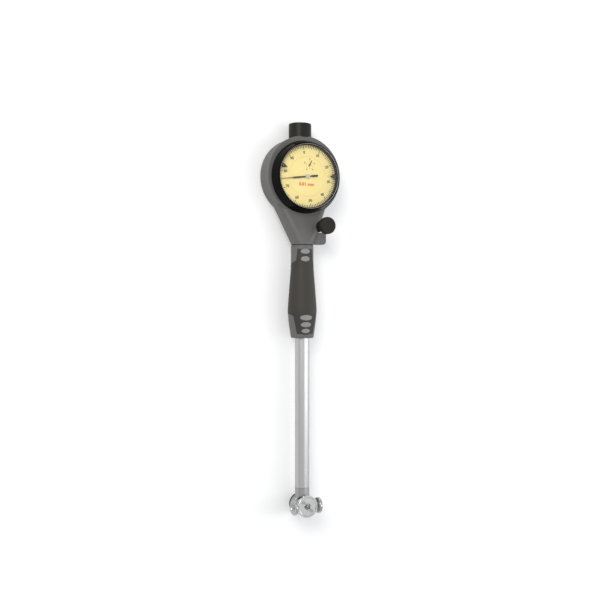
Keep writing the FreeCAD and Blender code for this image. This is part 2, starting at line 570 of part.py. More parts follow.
def cone_section(body, name, level, half, back, front, corner):
    """One cross-section of the cone, a rectangle with round corners, at a level along the tube."""
    sketch = sketch_in(body, name, "XY_Plane", level)
    wide, rear, fore, bend = size(half), size(back), size(front), size(corner)
    # local y runs to the back of the gauge
    corners = [(wide - bend, rear - bend, 0), (-wide + bend, rear - bend, 90),
               (-wide + bend, -fore + bend, 180), (wide - bend, -fore + bend, 270)]
    for x, y, start in corners:
        arc = Part.ArcOfCircle(Part.Circle(Vector(x, y, 0), Vector(0, 0, 1), bend),
                               math.radians(start), math.radians(start + 90))
        sketch.addGeometry(arc, False)
    ends = [(curve.StartPoint, curve.EndPoint) for curve in sketch.Geometry]
    for index in range(4):
        sketch.addGeometry(Part.LineSegment(ends[index][1], ends[(index + 1) % 4][0]), False)
    for index in range(4):
        sketch.addConstraint(Sketcher.Constraint("Tangent", index, 2, 4 + index, 1))
        sketch.addConstraint(Sketcher.Constraint("Tangent", 4 + index, 2, (index + 1) % 4, 1))
    for index in range(3):
        sketch.addConstraint(Sketcher.Constraint("Equal", index, index + 1))
    sketch.addConstraint(Sketcher.Constraint("Horizontal", 4))
    sketch.addConstraint(Sketcher.Constraint("Vertical", 5))
    limits = (("Radius", 0, None, corner), ("DistanceX", 0, 3, f"{half} - {corner}"),
              ("DistanceY", 0, 3, f"{back} - {corner}"), ("DistanceX", 1, 3, f"{corner} - ({half})"),
              ("DistanceY", 2, 3, f"{corner} - ({front})"))
    for kind, index, point, text in limits:
        if point is None:
            made = Sketcher.Constraint(kind, index, size(text))
        else:
            made = Sketcher.Constraint(kind, -1, 1, index, point, size(text))
        number = sketch.addConstraint(made)
        sketch.setExpression(f"Constraints[{number}]", bound(text))
    return sketch


def cover():
    """Moulded housing: a round cup for the indicator that runs down into a cone on the tube."""
    cup = turned_out("cover_cup", "-axis_height", [
        ("0", "-axis_height"), ("cover_radius", "-axis_height"), ("cover_radius", "cover_lip_back"),
        ("cover_lip_radius", "cover_lip_back + 0.6"), ("cover_lip_radius", "cover_front - 0.5"),
        ("cover_lip_radius - 0.5", "cover_front"), ("0", "cover_front")], along="cover_along")
    rounded(cup, "cover_back_round", circle_at(size("cover_radius"), 0.0))
    cone = doc.addObject("PartDesign::Body", "cover_cone")
    low = cone_section(cone, "cone_low_section", "cone_low", "cone_low_half", "cone_low_half",
                       "cone_low_half", "cone_low_corner")
    high = cone_section(cone, "cone_high_section", "cone_high", "cone_high_half", "cone_high_back",
                        "cone_high_front", "cone_high_corner")
    loft = cone.newObject("PartDesign::AdditiveLoft", "cone_loft")
    loft.Profile = low
    loft.Sections = [high]
    loft.Ruled = True
    doc.recompute()
    place(cone, ("0", "0", "0"), ALONG_TUBE)
    collar = rod("cover_collar", "collar_radius", "collar_low", "cone_low + 1", turn=ALONG_TUBE)
    ear = rod("clamp_ear", "ear_radius", "-ear_back", "ear_front", ("ear_across", "ear_along", "0"))
    lug = pad("cover_lug", [("0", "lug_low"), ("lug_across", "lug_low"), ("lug_across", "lug_high"),
                            ("0", "lug_high")], "-lug_half_depth", "lug_half_depth * 2")
    for level in ("lug_low", "lug_high"):
        height = size(level)
        rounded(lug, "lug_corner" if level == "lug_low" else "1", lambda edge, height=height: (
            isinstance(edge.Curve, Part.Line) and abs(edge.tangentAt(edge.FirstParameter).z) > 0.99
            and edge.Vertexes[0].X > 1 and abs(edge.Vertexes[0].Y - height) < 1e-4))
    boss = rod("cap_boss", "cap_boss_radius", "cover_along + 20", "cap_boss_top", ("0", "0", "cap_out"),
               ALONG_TUBE)
    spigot = rod("cap_spigot", "cap_spigot_radius", "cap_boss_top - 1", "cap_spigot_top",
                 ("0", "0", "cap_out"), ALONG_TUBE)
    cap_seat = rod("cap_seat", "cap_radius + 0.15", "cap_boss_top", "cap_spigot_top + 1",
                   ("0", "0", "cap_out"), ALONG_TUBE)
    ear_face = rod("ear_face", "ear_face_radius", "ear_front", "knob_back", ("ear_across", "ear_along", "0"))
    solid = cut("cover_faced", joined("cover_rough", cup, cone, collar, ear, lug, boss), cap_seat, ear_face)
    solid = joined("cover_solid", solid, spigot)
    room = rod("cover_room", "cover_inside", "-cover_floor", "cover_front + 20", ("0", "dial_along", "0"))
    tube_seat = rod("tube_seat", "tube_radius", "collar_low - 1", "tube_end", turn=ALONG_TUBE)
    stem_seat = rod("stem_seat", "stem_bore", "tube_end - 1", "dial_along - cover_inside + 4",
                    turn=ALONG_TUBE)
    top_bore = rod("top_bore", "cap_spigot_bore", "dial_along + cover_inside - 4", "cap_spigot_top + 1",
                   ("0", "0", "cap_out"), ALONG_TUBE)
    screw_bore = rod("screw_bore", "screw_shank_radius + 0.05", "-ear_back - 8", "ear_front + 1",
                     ("ear_across", "ear_along", "0"))
    node(cut("cover_cut", solid, room, tube_seat, stem_seat, top_bore, screw_bore), "cover_shell")
    cap = turned_along("cap_turned", "cap_boss_top", [
        ("cap_inside", "cap_boss_top"), ("cap_radius", "cap_boss_top"),
        ("cap_radius", "head_to_cap - cap_edge"), ("cap_radius - cap_edge", "head_to_cap"),
        ("0", "head_to_cap"), ("0", "head_to_cap - cap_roof"), ("cap_inside", "head_to_cap - cap_roof")],
        out="cap_out")
    node(cap, "dust_cap")
    screw = turned_out("screw_turned", "-screw_end", [
        ("0", "-screw_end"), ("screw_shank_radius - 0.4", "-screw_end"),
        ("screw_shank_radius", "-screw_end + 0.4"), ("screw_shank_radius", "ear_front + 0.05"),
        ("screw_collar_radius", "ear_front + 0.05"), ("screw_collar_radius", "screw_collar_front"),
        ("screw_neck_radius", "screw_collar_front"), ("screw_neck_radius", "knob_back"),
        ("knob_radius - knob_edge", "knob_back"), ("knob_radius", "knob_back + knob_edge"),
        ("knob_radius", "knob_front - knob_edge"), ("knob_radius - knob_edge", "knob_front"),
        ("0", "knob_front")], "ear_across", "ear_along")
    node(screw, "clamp_screw")


# ---------------------------------------------------------------- indicator

def indicator_case():
    ring = turned_out("case_turned", "-case_back", [
        ("case_inside", "-case_back"), ("case_radius", "-case_back"), ("case_radius", "case_flange_back"),
        ("case_flange_radius", "case_flange_back"), ("case_flange_radius", "case_flange_front"),
        ("case_radius", "case_flange_front"), ("case_radius", "case_front"),
        ("case_inside", "case_front")], along="dial_along")
    stem_hole = rod("case_stem_hole", "stem_radius", "dial_along - case_radius - 4", "dial_along - 15",
                    turn=ALONG_TUBE)
    bush_hole = rod("case_bush_hole", "top_bush_radius", "dial_along + 15", "dial_along + case_radius + 4",
                    turn=ALONG_TUBE)
    node(cut("case_cut", ring, stem_hole, bush_hole), "indicator_case")
    back = turned_out("back_turned", "-case_back - case_back_depth", [
        ("0", "-case_back - case_back_depth"), ("case_radius - 0.5", "-case_back - case_back_depth"),
        ("case_radius", "-case_back - case_back_depth + 0.5"), ("case_radius", "-case_back"),
        ("0", "-case_back")], along="dial_along")
    node(back, "case_back")
    stem = turned_along("stem_turned", "stem_low", [
        ("spindle_radius + running_gap", "stem_low"), ("stem_radius - 0.4", "stem_low"),
        ("stem_radius", "stem_low + 0.4"), ("stem_radius", "stem_high"),
        ("spindle_radius + running_gap", "stem_high")])
    node(stem, "indicator_stem")
    bush = turned_along("top_bush_turned", "top_bush_low", [
        ("spindle_radius + running_gap", "top_bush_low"), ("top_bush_radius", "top_bush_low"),
        ("top_bush_radius", "top_bush_high"), ("spindle_radius + running_gap", "top_bush_high")])
    node(bush, "spindle_bush")


def bezel():
    ring = turned_out("bezel_turned", "bezel_back", [
        ("bezel_bore", "bezel_back"), ("bezel_radius - 0.3", "bezel_back"),
        ("bezel_radius", "bezel_back + 0.3"), ("bezel_radius", "bezel_shoulder"),
        ("bezel_front_radius", "bezel_bevel"), ("bezel_rim_radius", "bezel_front"),
        ("crystal_seat", "bezel_front"), ("crystal_seat", "crystal_back"),
        ("bezel_flange", "crystal_back"), ("bezel_flange", "ring_seat_front"),
        ("ring_seat", "ring_seat_front"), ("ring_seat", "ring_seat_back"),
        ("bezel_bore", "ring_seat_back")], along="dial_along")
    node(ring, "bezel_ring")
    glass = turned_out("crystal_turned", "crystal_back", [
        ("0", "crystal_back"), ("crystal_radius", "crystal_back"), ("crystal_radius", "crystal_front - 0.3"),
        ("crystal_radius * 0.6", "crystal_front + crystal_crown * 0.6"),
        ("0", "crystal_front + crystal_crown")], along="dial_along")
    node(glass, "crystal")
    ring = turned_out("dial_ring_turned", "dial_back", [
        ("dial_split", "dial_back"), ("dial_ring_radius", "dial_back"), ("dial_ring_radius", "dial_front"),
        ("dial_split", "dial_front")], along="dial_along")
    node(ring, "dial_ring")
    disc = turned_out("dial_disc", "dial_back", [
        ("dial_hole", "dial_back"), ("dial_split - dial_gap", "dial_back"),
        ("dial_split - dial_gap", "dial_front"), ("dial_hole", "dial_front")], along="dial_along")
    feet = []
    for name, across, along in (("a", "foot_pitch", "0"), ("b", "-foot_pitch * 0.5", "foot_pitch * 0.87"),
                                ("c", "-foot_pitch * 0.87", "-foot_pitch * 0.5")):
        feet.append(rod("dial_foot_" + name, "foot_radius", "front_plate_front", "dial_back + 0.1",
                        (across, f"dial_along + {along}", "0")))
    hole = rod("counter_hole_cut", "counter_hole", "front_plate_front + 0.5", "dial_front + 1",
               ("arbor_across", "dial_along + arbor_along", "0"))
    node(cut("dial_centre_cut", joined("dial_centre_solid", disc, *feet), hole), "dial_centre")


def wedge_plate(outline, depth):
    """A flat plate from corner points in the local XY plane."""
    points = [Vector(x, y, 0) for x, y in outline]
    return Part.Face(Part.makePolygon(points + points[:1])).extrude(Vector(0, 0, depth))


def markers():
    for side in ("left", "right"):
        reach, root, half = size("marker_reach"), size("marker_root"), size("marker_half")
        arrow = wedge_plate([(-half, root), (-half, root - 1.6), (-0.25, reach), (0.25, reach),
                             (half, root - 1.6), (half, root)], size("marker_front - marker_back"))
        turn = Rotation(Vector(0, 0, 1), -size(f"marker_{side}_turn"))
        piece = formed("marker_" + side, arrow, ("0", "dial_along", "marker_back"), turn)
        node(piece, "tolerance_hand_" + side)


# ---------------------------------------------------------------- movement

def tooth_ring(count, module, depth, phase=0.0, bore=0.0):
    """A spur wheel with slim straight-sided teeth; phase is the direction of one tooth in degrees."""
    pitch_radius = count * module / 2
    tip = pitch_radius + 0.85 * module
    root = pitch_radius - 1.2 * module
    step = 2 * math.pi / count
    outline = []
    for index in range(count):
        middle = math.radians(phase) + index * step
        for radius, share in ((root, -0.27), (tip, -0.10), (tip, 0.10), (root, 0.27)):
            angle = middle + share * step
            outline.append((radius * math.cos(angle), radius * math.sin(angle)))
    solid = wedge_plate(outline, depth)
    if bore:
        solid = solid.cut(Part.makeCylinder(bore, depth))
    return solid


def spoked(wheel, outside, inside, depth, spokes=4):
    """Opens a wheel between hub and rim, leaving its spokes."""
    gap = Part.makeCylinder(outside, depth).cut(Part.makeCylinder(inside, depth))
    for index in range(spokes):
        bar = Part.makeBox(outside + 1, 0.9, depth, Vector(0, -0.45, 0))
        bar.rotate(Vector(0, 0, 0), Vector(0, 0, 1), 360.0 * index / spokes + 45)
        gap = gap.cut(bar)
    return wheel.cut(gap)


def movement():
    """Rack, wheels and pinions that turn the spindle's travel into the pointer's turns."""
    centre = ("0", "dial_along", "0")
    rack_seat = ("-arbor_across", "dial_along - arbor_along", "0")
    takeup_seat = ("arbor_across", "dial_along + arbor_along", "0")
    pillars = []
    spacers = []
    for index, (one, two) in enumerate((("", ""), ("-", ""), ("-", "-"), ("", "-"))):
        seat = (f"{one}pillar_across", f"dial_along + {two}pillar_along", "0")
        pillars.append(rod(f"case_pillar_{index}", "pillar_radius", "-case_back", "back_plate_back", seat))
        spacers.append(rod(f"plate_spacer_{index}", "spacer_radius", "back_plate_front",
                           "front_plate_back", seat))
    node(group("case_pillar_set", pillars), "case_pillars")
    node(group("plate_spacer_set", spacers), "plate_pillars")
    for side, holes in (("back", (("arbor_radius", rack_seat), ("pivot_radius", centre),
                                  ("pivot_radius", takeup_seat))),
                        ("front", (("pivot_radius", rack_seat), ("staff_radius", centre),
                                   ("staff_radius", takeup_seat)))):
        low, high = f"{side}_plate_back", f"{side}_plate_front"
        plate = rod(f"{side}_disc", "plate_radius", low, high, centre)
        tools = [rod(f"{side}_hole_{i}", f"{radius} + running_gap", f"{low} - 1", f"{high} + 1", seat)
                 for i, (radius, seat) in enumerate(holes)]
        node(cut(f"{side}_plate_cut", plate, *tools), f"movement_{side}_plate")

    depth = size("wheel_depth")
    distance = math.hypot(size("arbor_across"), size("arbor_along"))
    wheel_count = int(size("wheel_teeth"))
    small_count = int(size("centre_pinion_teeth"))
    module = 2 * distance / (wheel_count + small_count)
    line = math.degrees(math.atan2(size("arbor_along"), size("arbor_across")))

    # rack arbor: pinion on the spindle's rack, large wheel on the centre pinion
    rack_module = size("rack_pitch") / math.pi
    pinion = tooth_ring(int(size("rack_pinion_teeth")), rack_module, size("rack_pinion_half * 2"))
    pinion.translate(Vector(0, 0, -size("rack_pinion_half")))
    wheel = tooth_ring(wheel_count, module, depth, phase=line)
    wheel = spoked(wheel, wheel_count * module / 2 - 1.3, 2.0, depth)
    wheel.translate(Vector(0, 0, size("rack_wheel_back")))
    staff = Part.makeCylinder(size("arbor_radius"), size("front_plate_back + arbor_back - 0.05"),
                              Vector(0, 0, -size("arbor_back")))
    pivot = Part.makeCylinder(size("pivot_radius"), size("front_plate_front - arbor_back + arbor_back"),
                              Vector(0, 0, 0))
    node(formed("rack_arbor_shape", pinion.fuse([wheel, staff, pivot]), rack_seat), "rack_wheel")

    # centre pinion: a gap, not a tooth, faces each large wheel
    half_tooth = 180.0 / small_count
    pinion = tooth_ring(small_count, module, size("centre_pinion_front - centre_pinion_back"),
                        phase=line + half_tooth)
    pinion.translate(Vector(0, 0, size("centre_pinion_back")))
    staff = Part.makeCylinder(size("staff_radius"), size("pointer_front - back_plate_front - 0.05"),
                              Vector(0, 0, size("back_plate_front + 0.05")))
    pivot = Part.makeCylinder(size("pivot_radius"), 1.0, Vector(0, 0, size("back_plate_back + 0.1")))
    node(formed("centre_arbor_shape", pinion.fuse([staff, pivot]), centre), "centre_pinion")

    # take-up wheel: keeps the train tight under its hairspring and carries the counter hand
    wheel = tooth_ring(wheel_count, module, depth, phase=line)
    wheel = spoked(wheel, wheel_count * module / 2 - 1.3, 2.0, depth)
    wheel.translate(Vector(0, 0, size("takeup_wheel_back")))
    staff = Part.makeCylinder(size("staff_radius"), size("counter_front - back_plate_front - 0.05"),
                              Vector(0, 0, size("back_plate_front + 0.05")))
    pivot = Part.makeCylinder(size("pivot_radius"), 1.0, Vector(0, 0, size("back_plate_back + 0.1")))
    collet = Part.makeCylinder(size("hairspring_inside"), size("hairspring_front - takeup_wheel_back"),
                               Vector(0, 0, size("takeup_wheel_back")))
    node(formed("takeup_shape", wheel.fuse([staff, pivot, collet]), takeup_seat), "takeup_wheel")
    node(formed("hairspring_shape", hairspring(), takeup_seat), "hairspring")


def hairspring():
    """Flat spiral strip from the collet outwards."""
    inner, outer = size("hairspring_inside"), size("hairspring_outside")
    turns, strip = int(size("hairspring_turns")), size("hairspring_strip")
    steps = turns * 16
    near, far = [], []
    for index in range(steps + 1):
        angle = 2 * math.pi * turns * index / steps
        radius = inner + (outer - inner) * index / steps
        near.append((radius * math.cos(angle), radius * math.sin(angle)))
        far.append(((radius + strip) * math.cos(angle), (radius + strip) * math.sin(angle)))
    solid = wedge_plate(near + far[::-1], size("hairspring_front - hairspring_back"))
    solid.translate(Vector(0, 0, size("hairspring_back")))
    return solid.cut(Part.makeCylinder(inner, 20))


def spindle():
    """Round spindle with a rack cut into a flat on the side that meets the rack pinion."""
    shaft = turned_along("spindle_turned", "spindle_low", [
        ("0", "spindle_low"), ("spindle_radius", "spindle_low"), ("spindle_radius", "spindle_top - 0.4"),
        ("spindle_radius - 0.4", "spindle_top"), ("0", "spindle_top")])
    pitch = size("rack_pitch")
    module = pitch / math.pi
    count = int(size("rack_teeth"))
    line = size("arbor_across") - int(size("rack_pinion_teeth")) * module / 2
    tip, root = -line - 0.85 * module, -line + 1.2 * module
    middle = size("dial_along - arbor_along")
    # a gap of the rack faces the pinion's tooth, which lies straight across from its arbor
    first = middle - (count // 2) * pitch
    outline = [(-4, first - 2.0), (tip, first - 2.0)]
    for index in range(count):
        gap = first + index * pitch
        outline += [(tip, gap - 0.40 * pitch), (root, gap - 0.23 * pitch),
                    (root, gap + 0.23 * pitch), (tip, gap + 0.40 * pitch)]
    last = first + (count - 1) * pitch
    outline += [(tip, last + 2.0), (-4, last + 2.0)]
    comb = formed("rack_comb", wedge_plate(outline, 8), ("0", "0", "-4"))
    node(cut("spindle_cut", shaft, comb), "spindle_rack")
    point = turned_along("point_turned", "point_low", [
        ("0", "point_low"), ("0.9", "point_low + 0.2"), ("1.4", "point_low + 0.9"),
        ("1.4", "point_low + 2.2"), ("2.3", "point_low + 2.6"), ("2.3", "spindle_low"),
        ("0", "spindle_low")])
    node(point, "spindle_point")


def hands():
    reach, tail = size("pointer_reach"), size("pointer_tail")
    depth = size("pointer_front - pointer_back")
    # slim tip, broader middle, waist at the hub and a bar on the tail
    outline = [(-0.16, reach), (-0.28, 12.5), (-0.62, 12.0), (-0.62, 3.4), (-0.4, 2.0), (-0.4, -3.4),
               (-0.75, -3.9), (-0.75, -tail), (0.75, -tail), (0.75, -3.9), (0.4, -3.4), (0.4, 2.0),
               (0.62, 3.4), (0.62, 12.0), (0.28, 12.5), (0.16, reach)]
    blade = wedge_plate(outline, depth)
    hub = Part.makeCylinder(size("pointer_hub"), 1.0, Vector(0, 0, -0.35))
    bore = Part.makeCylinder(size("staff_radius"), 3.0, Vector(0, 0, -2.7 - 0.1))
    turn = Rotation(Vector(0, 0, 1), -size("pointer_turn"))
    hand = blade.fuse(hub).cut(bore)
    hub_low = "pointer_back"
    node(formed("pointer_shape", clear_of_staff(hand, "pointer_front - pointer_back"),
                ("0", "dial_along", hub_low), turn), "pointer")
    small = size("counter_reach")
    blade = wedge_plate([(-0.12, small), (-0.35, 0.8), (-0.3, -1.6), (0.3, -1.6), (0.35, 0.8),
                         (0.12, small)], size("counter_front - counter_back"))
    hub = Part.makeCylinder(0.75, size("counter_front - counter_back"))
    turn = Rotation(Vector(0, 0, 1), -size("counter_turn"))
    node(formed("counter_shape", clear_of_staff(blade.fuse(hub), "counter_front - counter_back"),
                ("arbor_across", "dial_along + arbor_along", "counter_back"), turn), "counter_hand")


def clear_of_staff(hand, depth):
    """Bores a hand for the staff that it is pressed on."""
    return hand.cut(Part.makeCylinder(size("staff_radius"), size(depth) + 1.0, Vector(0, 0, -1.0)))


def case_screws():
    screws = []
    for index in range(4):
        angle = math.radians(45 + 90 * index)
        across = f"case_screw_pitch * {math.cos(angle):.6f}"
        along = f"dial_along + case_screw_pitch * {math.sin(angle):.6f}"
        low = "-case_back - case_back_depth - case_screw_proud"
        high = "-case_back - case_back_depth"
        screws.append(rod(f"case_screw_{index}", "case_screw_head", low, high, (across, along, "0")))
    node(group("case_screw_set", screws), "case_screws")


def check_and_export():
    doc.recompute()
    for thing in doc.Objects:
        if "Invalid" in thing.State or "Error" in thing.State:
            raise RuntimeError(f"{thing.Label} did not build: {thing.State}")
    for part in NODES:
        if part.Shape.isNull() or not part.Shape.isValid() or not part.Shape.Solids:
            raise RuntimeError(f"{part.Label} is not a sound solid")
    os.makedirs("parts", exist_ok=True)
    for part in NODES:
        part.Shape.exportStep(f"parts/{part.Label}.step")
        print(f"{part.Label:24s} solids {len(part.Shape.Solids)}  volume {part.Shape.Volume:9.2f} mm3")
    print(len(NODES), "nodes")


head_body()
crank()
contact()
anvil()
centraliser()
tube_and_rod()
handle()
cover()
indicator_case()
case_screws()
bezel()
markers()
movement()
spindle()
hands()
check_and_export()
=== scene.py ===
# %% [markdown]
# # A dial bore gauge
#
# The gauge measures the inside of a bore. A small head with two wheels rocks in the bore, a long
# tube carries the movement of its contact up to a dial indicator, and a moulded cover with a
# rubber grip protects the indicator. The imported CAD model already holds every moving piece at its
# real size, so this script keeps it as a fixed frame and adds what CAD leaves plain: the print on
# the dial, the knurls, the finishes, the light and the camera.

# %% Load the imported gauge
import json
import math

import bpy
from mathutils import Matrix, Vector


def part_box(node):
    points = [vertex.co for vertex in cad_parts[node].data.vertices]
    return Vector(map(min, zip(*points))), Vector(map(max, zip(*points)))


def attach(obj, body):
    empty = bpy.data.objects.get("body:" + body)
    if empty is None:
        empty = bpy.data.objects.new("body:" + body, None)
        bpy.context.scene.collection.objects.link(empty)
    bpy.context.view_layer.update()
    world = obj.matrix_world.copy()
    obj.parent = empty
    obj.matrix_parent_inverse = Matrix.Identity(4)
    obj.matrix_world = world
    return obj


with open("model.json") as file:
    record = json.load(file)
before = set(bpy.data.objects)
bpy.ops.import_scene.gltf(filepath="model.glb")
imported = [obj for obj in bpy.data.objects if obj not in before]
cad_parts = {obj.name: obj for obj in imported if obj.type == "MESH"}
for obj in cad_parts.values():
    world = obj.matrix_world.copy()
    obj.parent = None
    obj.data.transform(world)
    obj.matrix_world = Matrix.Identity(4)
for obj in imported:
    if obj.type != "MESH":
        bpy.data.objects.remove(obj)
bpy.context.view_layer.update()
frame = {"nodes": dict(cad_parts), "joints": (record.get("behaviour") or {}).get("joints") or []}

nodes = frame["nodes"]
joints = {joint["name"]: joint for joint in frame["joints"]}

# %% [markdown]
# Sizes below are in metres, as everything in Blender is here, so a helper turns millimetres into
# metres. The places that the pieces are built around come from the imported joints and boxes: the
# pointer's joint is the middle of the dial, and the take-up joint is the middle of the small
# revolution counter. If the CAD changes, the print moves with it.


# %% Millimetres and the places to build around
def mm(value):
    return value / 1000


dial_middle = Vector(joints["pointer_turn"]["pos_m"])
counter_middle = Vector(joints["takeup_turn"]["pos_m"])
knob_middle = Vector(joints["clamp_screw_turn"]["pos_m"])
ring_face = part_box("dial_ring")[1].z
centre_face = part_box("dial_centre")[1].z
print("dial middle at", [round(1000 * v, 2) for v in dial_middle], "mm")

# %% [markdown]
# ## Shader maths as plain sums
#
# A finish is a small sum over the surface, such as "base roughness plus a little noise". Written
# with nodes alone, each plus sign takes four lines. The class below wraps a socket, and its
# operators add the Math nodes, so the sum reads as a sum. Reflected forms such as `__rsub__` let
# a number stand on the left, as in `1 - mask`.


# %% A wrapped socket
class Wire:
    def __init__(self, finish, socket):
        self.finish, self.socket = finish, socket

    def __add__(self, other):
        return self.finish.maths("ADD", self, other)

    __radd__ = __add__

    def __sub__(self, other):
        return self.finish.maths("SUBTRACT", self, other)

    def __rsub__(self, other):
        return self.finish.maths("SUBTRACT", other, self)

    def __mul__(self, other):
        return self.finish.maths("MULTIPLY", self, other)

    __rmul__ = __mul__

    def __gt__(self, other):
        return self.finish.maths("GREATER_THAN", self, other)

    def __lt__(self, other):
        return self.finish.maths("LESS_THAN", self, other)

    def __pow__(self, other):
        return self.finish.maths("POWER", self, other)

    def output(self, name):
        return Wire(self.finish, self.socket.node.outputs[name])


# %% [markdown]
# A finish is one material. Its `node` method makes any node from its type, its settings and what
# its sockets hold. Settings go first, because a setting such as a Math node's operation can change
# which sockets there are. `shader` sets the Principled shader: a number goes on the socket itself,
# and a wire is linked.


# %% One finish and its nodes
class Finish:
    def __init__(self, name):
        self.material = bpy.data.materials.new(name)
        self.material.use_nodes = True
        self.tree = self.material.node_tree
        self.principled = self.tree.nodes["Principled BSDF"]

    def fill(self, socket, value):
        if isinstance(value, Wire):
            self.tree.links.new(value.socket, socket)
        else:
            socket.default_value = value

    def node(self, kind, settings=(), sockets=(), out=0):
        made = self.tree.nodes.new(kind)
        for name, value in dict(settings).items():
            setattr(made, name, value)
        for name, value in dict(sockets).items():
            self.fill(made.inputs[name], value)
        return Wire(self, made.outputs[out])

    def maths(self, operation, a, b=0.0):
        return self.node("ShaderNodeMath", {"operation": operation}, {0: a, 1: b})

    def shader(self, **sockets):
        for name, value in sockets.items():
            self.fill(self.principled.inputs[name.replace("_", " ")], value)

    def blend(self, mask, below, above):
        """One colour where the mask is 0, the other where it is 1."""
        return self.node("ShaderNodeMix", {"data_type": "RGBA"}, {0: mask, 6: below, 7: above}, out=2)

    def spot(self):
        return self.node("ShaderNodeTexCoord", out="Object")

    def noise(self, size, stretch=(1, 1, 1), detail=3.0):
        """Cloudy values about 0.5, with features of that size, drawn out along an axis by its stretch."""
        scaled = self.node("ShaderNodeVectorMath", {"operation": "DIVIDE"},
                           {0: self.spot(), 1: tuple(size * s for s in stretch)})
        return self.node("ShaderNodeTexNoise", sockets={"Vector": scaled, "Scale": 1.0, "Detail": detail})

    def radius(self, middle, plane="XY"):
        """Distance from an axis through middle, square to that plane."""
        split = self.node("ShaderNodeSeparateXYZ", sockets={0: self.spot()})
        squares = [(split.output(axis) - middle["XYZ".index(axis)]) ** 2 for axis in plane]
        return self.maths("SQRT", squares[0] + squares[1])

    def bump(self, height, depth):
        return self.node("ShaderNodeBump", sockets={"Height": height, "Distance": depth})


def grey(level, warm=0.0):
    """A grey, or one a little warmer than grey, as the linear colour that a socket takes."""
    return (level * (1 + warm), level, level * (1 - warm), 1.0)


FINISHES = []


def keep(finish, *names):
    """Puts a finish on CAD nodes."""
    FINISHES.append(finish)
    for name in names:
        for place in nodes[name].material_slots:
            place.material = finish.material
    return finish


# %% [markdown]
# ## Moulded plastic and rubber
#
# The cover and the handle are glass-filled nylon. It comes out of the mould with a fine satin
# grain, a little cloudy from how the glass flows, and slightly polished where hands touch it. The
# grain is far too fine for geometry, so a bump a few hundredths of a millimetre deep carries it,
# and the clouds move the colour and the roughness together.


# %% Plastic and rubber
CLOUD_SIZE = mm(9)
CLOUD_ROUGHNESS, GRAIN_ROUGHNESS = 0.16, 0.1


def moulded(name, dark, light, rough, grain, depth, sheen=0.0):
    made = Finish(name)
    cloud = made.noise(CLOUD_SIZE)
    fine = made.noise(grain, detail=2.0)
    made.shader(Base_Color=made.blend(cloud, dark, light), Normal=made.bump(fine, depth), Sheen_Weight=sheen,
                Roughness=rough + CLOUD_ROUGHNESS * (cloud - 0.5) + GRAIN_ROUGHNESS * (fine - 0.5))
    return made


keep(moulded("cover_nylon", grey(0.098, 0.03), grey(0.122, 0.03), 0.46, mm(0.35), mm(0.02)), "cover_shell")
keep(moulded("inlay_nylon", grey(0.21, 0.01), grey(0.26, 0.01), 0.5, mm(0.3), mm(0.015)), "grip_inlays")
RUBBER_DARK, RUBBER_LIGHT = grey(0.019, 0.2), grey(0.030, 0.2)
keep(moulded("grip_rubber", RUBBER_DARK, RUBBER_LIGHT, 0.62, mm(0.5), mm(0.04), sheen=0.05), "rubber_grip")
keep(moulded("seal_rubber", grey(0.012), grey(0.018), 0.7, mm(0.5), mm(0.03)), "handle_gasket")
knob_plastic = keep(moulded("knob_plastic", grey(0.011, 0.25), grey(0.016, 0.25), 0.4, mm(0.3), mm(0.012)),
                    "dust_cap", "clamp_screw")
knob_plastic.shader(Specular_IOR_Level=0.2)
print("plastic and rubber:", len(FINISHES), "finishes")

# %% [markdown]
# The rubber runs up and down the handle in two tongues whose feet flare out to the sides. The flare
# is a film of rubber too thin to be a solid, so it is a mask on the handle's grey moulding: how
# far a point is from the handle's middle line, against how wide the rubber is at that height.

# %% Handle with the flared rubber film
HANDLE_TURN = math.radians(8)
TUBE_AXIS_HEIGHT = mm(14.5)
FILM_TOP, FILM_MIDDLE, FILM_BOTTOM = mm(54.5), mm(20), mm(-11.2)
UPPER_FOOT, UPPER_HALF_WIDTH, UPPER_TAPER, UPPER_FLARE = mm(45.85), mm(6.6), 0.09, 1.0
LOWER_FOOT, LOWER_HALF_WIDTH, LOWER_TAPER, LOWER_FLARE = mm(2.65), mm(9.1), 0.2, 1.3
handle = keep(Finish("handle_nylon"), "handle_body")
place = handle.node("ShaderNodeSeparateXYZ", sockets={0: handle.spot()})
across = (place.output("X") * math.cos(HANDLE_TURN)
          + (place.output("Z") - TUBE_AXIS_HEIGHT) * math.sin(HANDLE_TURN))
aside = handle.maths("ABSOLUTE", across)
along = place.output("Y")
under_foot, over_foot = UPPER_FOOT - along, along - LOWER_FOOT
upper_edge = handle.maths("MAXIMUM", UPPER_HALF_WIDTH + UPPER_TAPER * under_foot,
                          UPPER_HALF_WIDTH + UPPER_FLARE * under_foot)
lower_edge = handle.maths("MAXIMUM", LOWER_HALF_WIDTH + LOWER_TAPER * over_foot,
                          LOWER_HALF_WIDTH + LOWER_FLARE * over_foot)
upper_film = (aside < upper_edge) * (along > FILM_MIDDLE) * (along < FILM_TOP)
lower_film = (aside < lower_edge) * (along < FILM_MIDDLE) * (along > FILM_BOTTOM)
film = upper_film + lower_film
cloud, fine = handle.noise(CLOUD_SIZE), handle.noise(mm(0.35), detail=2.0)
plastic = handle.blend(cloud, grey(0.10, 0.02), grey(0.128, 0.02))
handle.shader(Base_Color=handle.blend(film, plastic, handle.blend(cloud, RUBBER_DARK, RUBBER_LIGHT)),
              Roughness=0.5 + 0.14 * film + 0.12 * (cloud - 0.5), Normal=handle.bump(fine, mm(0.02)))

# %% [markdown]
# ## Metals
#
# How a metal catches light tells how it was made. A ground tube carries fine lines round it, a
# turned face has rings about its centre, and plating has neither. Each is noise stretched the way
# the tool went: the noise is read along the tube only, or along the radius only, and it moves the
# roughness and a very shallow bump.


